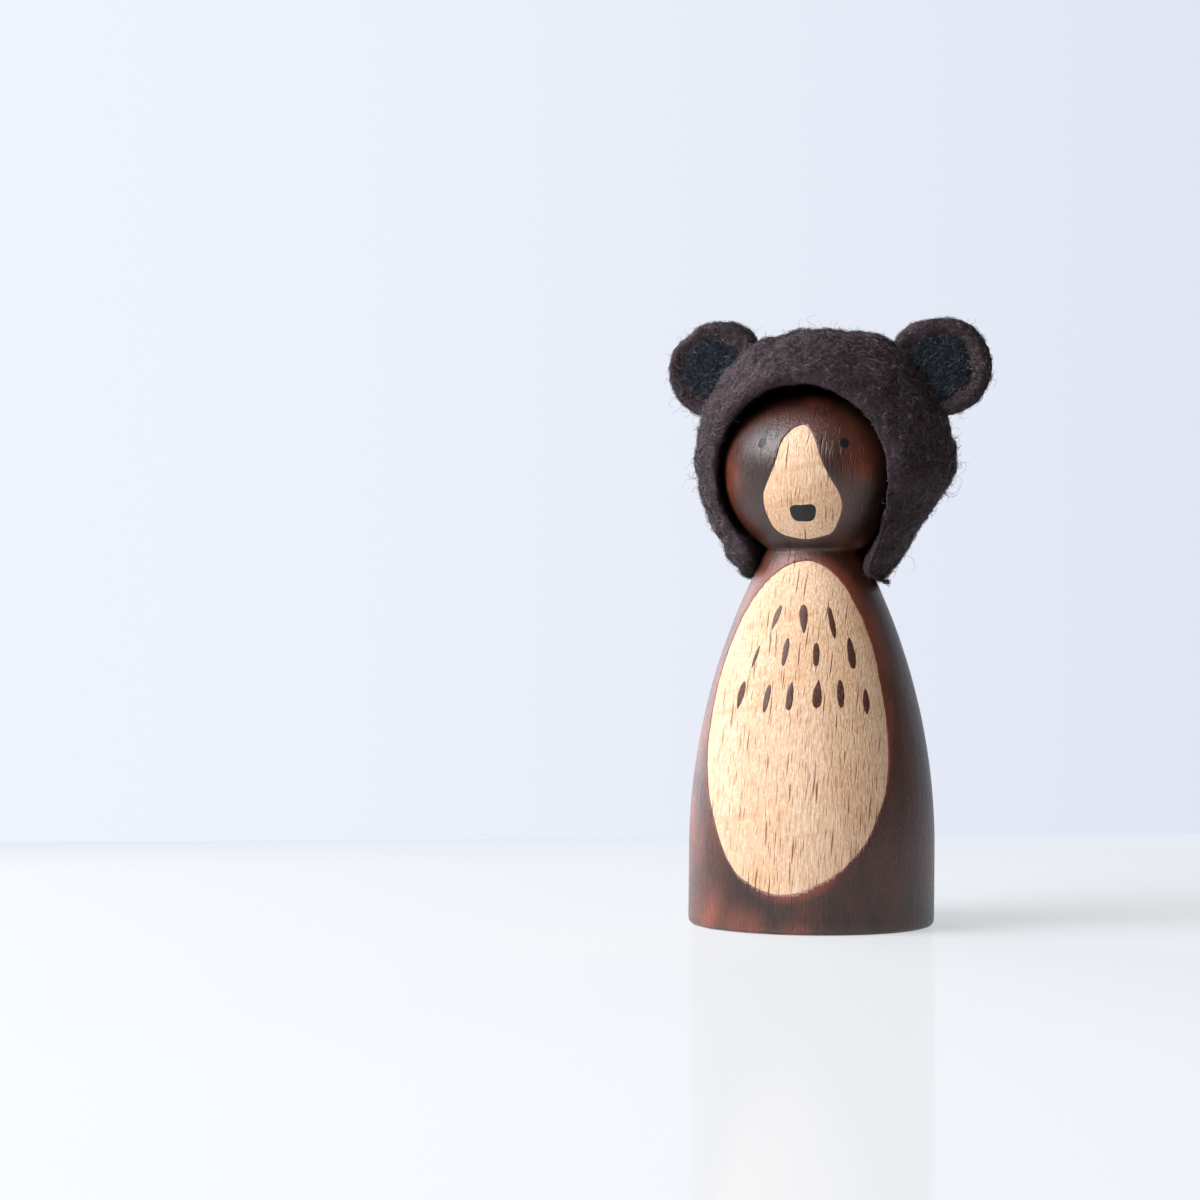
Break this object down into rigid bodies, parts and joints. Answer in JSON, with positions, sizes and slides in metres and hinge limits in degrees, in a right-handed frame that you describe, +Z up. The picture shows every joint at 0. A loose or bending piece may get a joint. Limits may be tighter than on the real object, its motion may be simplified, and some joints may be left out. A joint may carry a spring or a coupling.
{
  "type": "peg doll",
  "caption": "Turned beech peg doll painted as a bear with bare wood belly and muzzle, wearing a thick felted wool bonnet with two round lined ears that pulls off the head.",
  "frame": {"origin": "centre of the flat round base on which the doll stands", "axes": "+Z up along the peg's axis, the doll's face looks along -Y, +X towards the doll's own left"},
  "size_m": [0.0479, 0.0389, 0.0861],
  "materials": {
    "bare_beech": "sanded, unfinished beech with short dark flecks along the grain",
    "brown_stain": "thin dark brown stain, semi-gloss, with raised grain",
    "black_paint": "brushed black acrylic paint, satin",
    "brown_paint": "brushed dark brown acrylic paint, matt",
    "brown_felt": "needle-felted dark brown wool with loose surface fibres",
    "dark_felt": "needle-felted blue-black wool"
  },
  "bodies": {
    "peg": {"peg": "bare_beech", "brown_coat": "brown_stain", "nose": "black_paint", "left_eye": "black_paint", "right_eye": "black_paint", "chest_marks": "brown_paint"},
    "bonnet": {"bonnet": "brown_felt", "left_ear": "brown_felt", "right_ear": "brown_felt", "left_ear_lining": "dark_felt", "right_ear_lining": "dark_felt"}
  },
  "joints": [
    {"name": "bonnet_pull_off", "type": "slide", "parent": "peg", "child": "bonnet", "axis": [0.1214, 0.9888, 0.0872], "range_m": [0, 0.05]}
  ]
}
